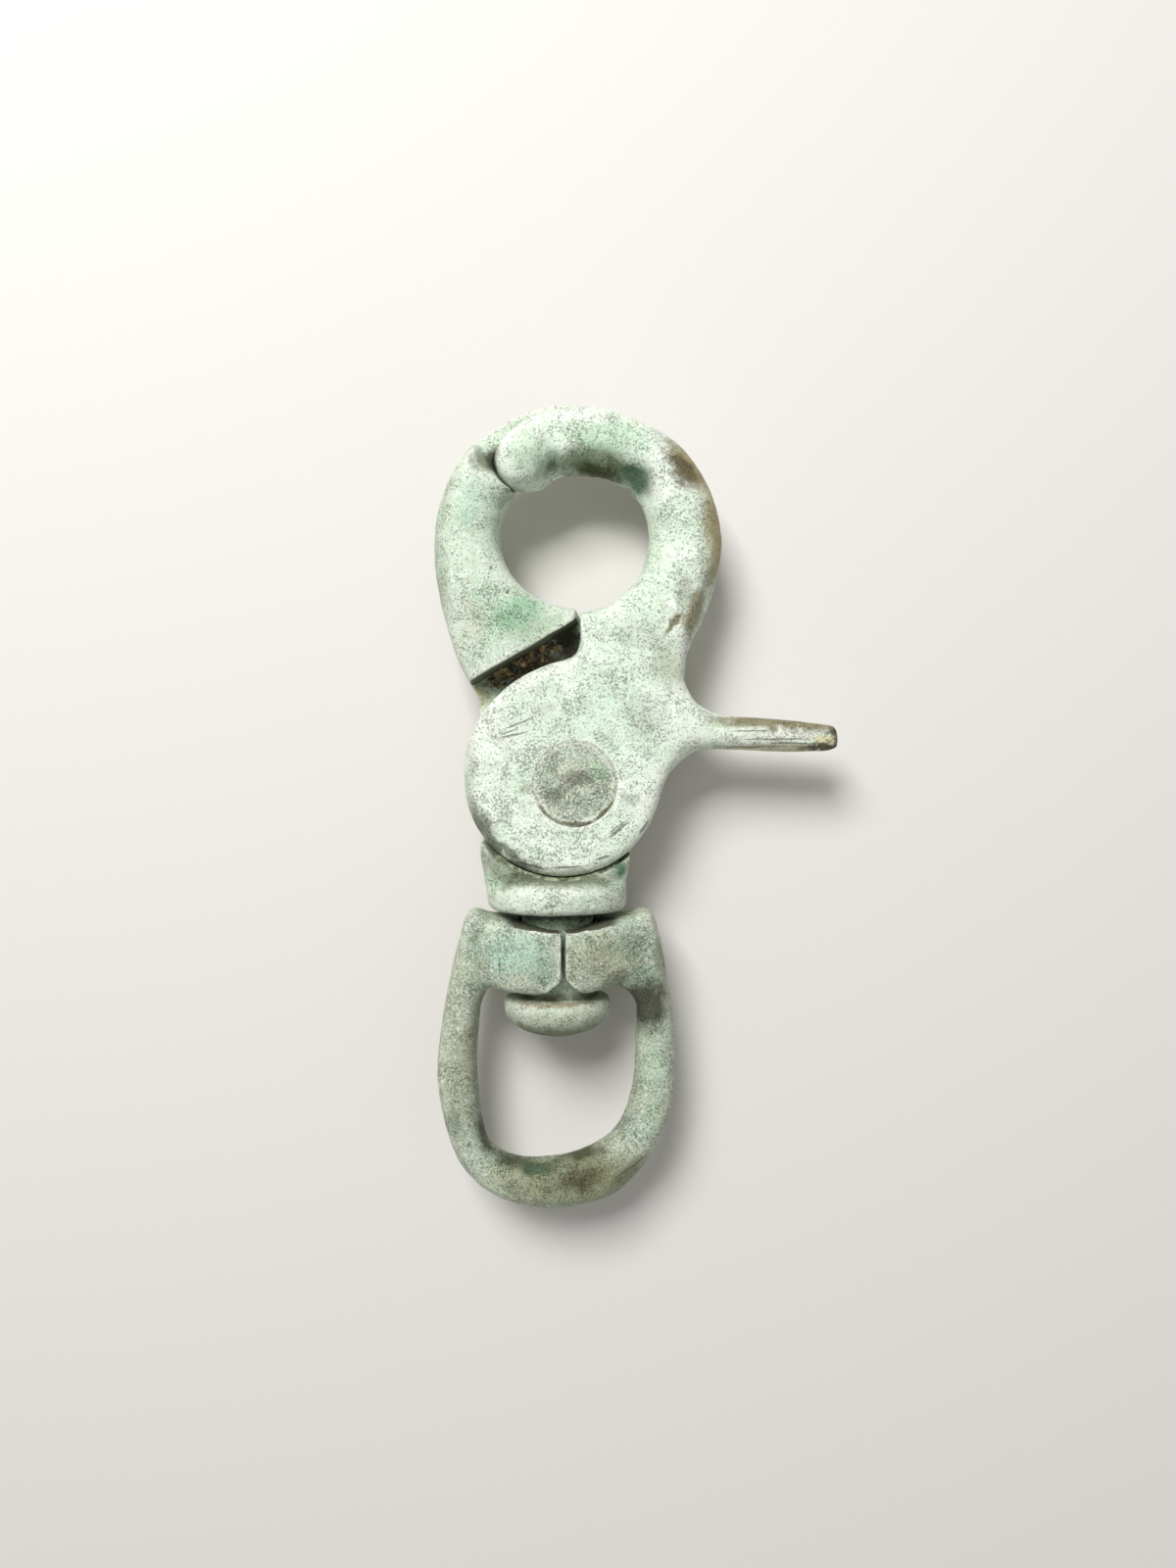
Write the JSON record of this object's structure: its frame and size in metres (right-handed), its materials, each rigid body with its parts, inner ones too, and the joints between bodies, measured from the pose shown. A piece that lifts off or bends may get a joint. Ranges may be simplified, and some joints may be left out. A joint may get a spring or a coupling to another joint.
{
  "type": "swivel trigger snap hook",
  "caption": "Swivel snap hook: a lapped ring-shaped hook with a sprung swinging jaw and thumb lever, and a looped eye that turns on the hook's stem.",
  "frame": {"origin": "centre of the hook's ring opening, in the mid plane between the two lapped halves", "axes": "+Y from the eye towards the top of the hook, +Z along the jaw's pivot towards the side the jaw lies on, +X towards the thumb lever"},
  "size_m": [0.0493, 0.0986, 0.0172],
  "materials": {
    "hook_body": "rough cast bronze under a pale grey-green weathered patina, dirt and rust in the gap below its shoulder",
    "trigger_jaw": "rough cast bronze under a pale grey-green weathered patina, scratched, with bare brassy metal at the lever's end",
    "pivot_rivet": "peened flush, mottled grey and green",
    "torsion_spring": "dull spring wire",
    "swivel_eye": "rough cast bronze under a grey-green weathered patina with darker patches"
  },
  "bodies": {
    "hook": {"hook_body": "hook_body", "pivot_rivet": "pivot_rivet", "torsion_spring": "torsion_spring"},
    "trigger": {"trigger_jaw": "trigger_jaw"},
    "eye": {"swivel_eye": "swivel_eye"}
  },
  "joints": [
    {"name": "trigger_pivot", "type": "hinge", "parent": "hook", "child": "trigger", "pos_m": [0, -0.0302, 0], "axis": [0, 0, -1], "range_deg": [0, 34], "stiffness_Nm_per_rad": 0.2, "springref_deg": -34.38},
    {"name": "eye_swivel", "type": "hinge", "parent": "hook", "child": "eye", "pos_m": [-0.0022, -0.0506, 0], "axis": [0, 1, 0], "continuous": true}
  ]
}
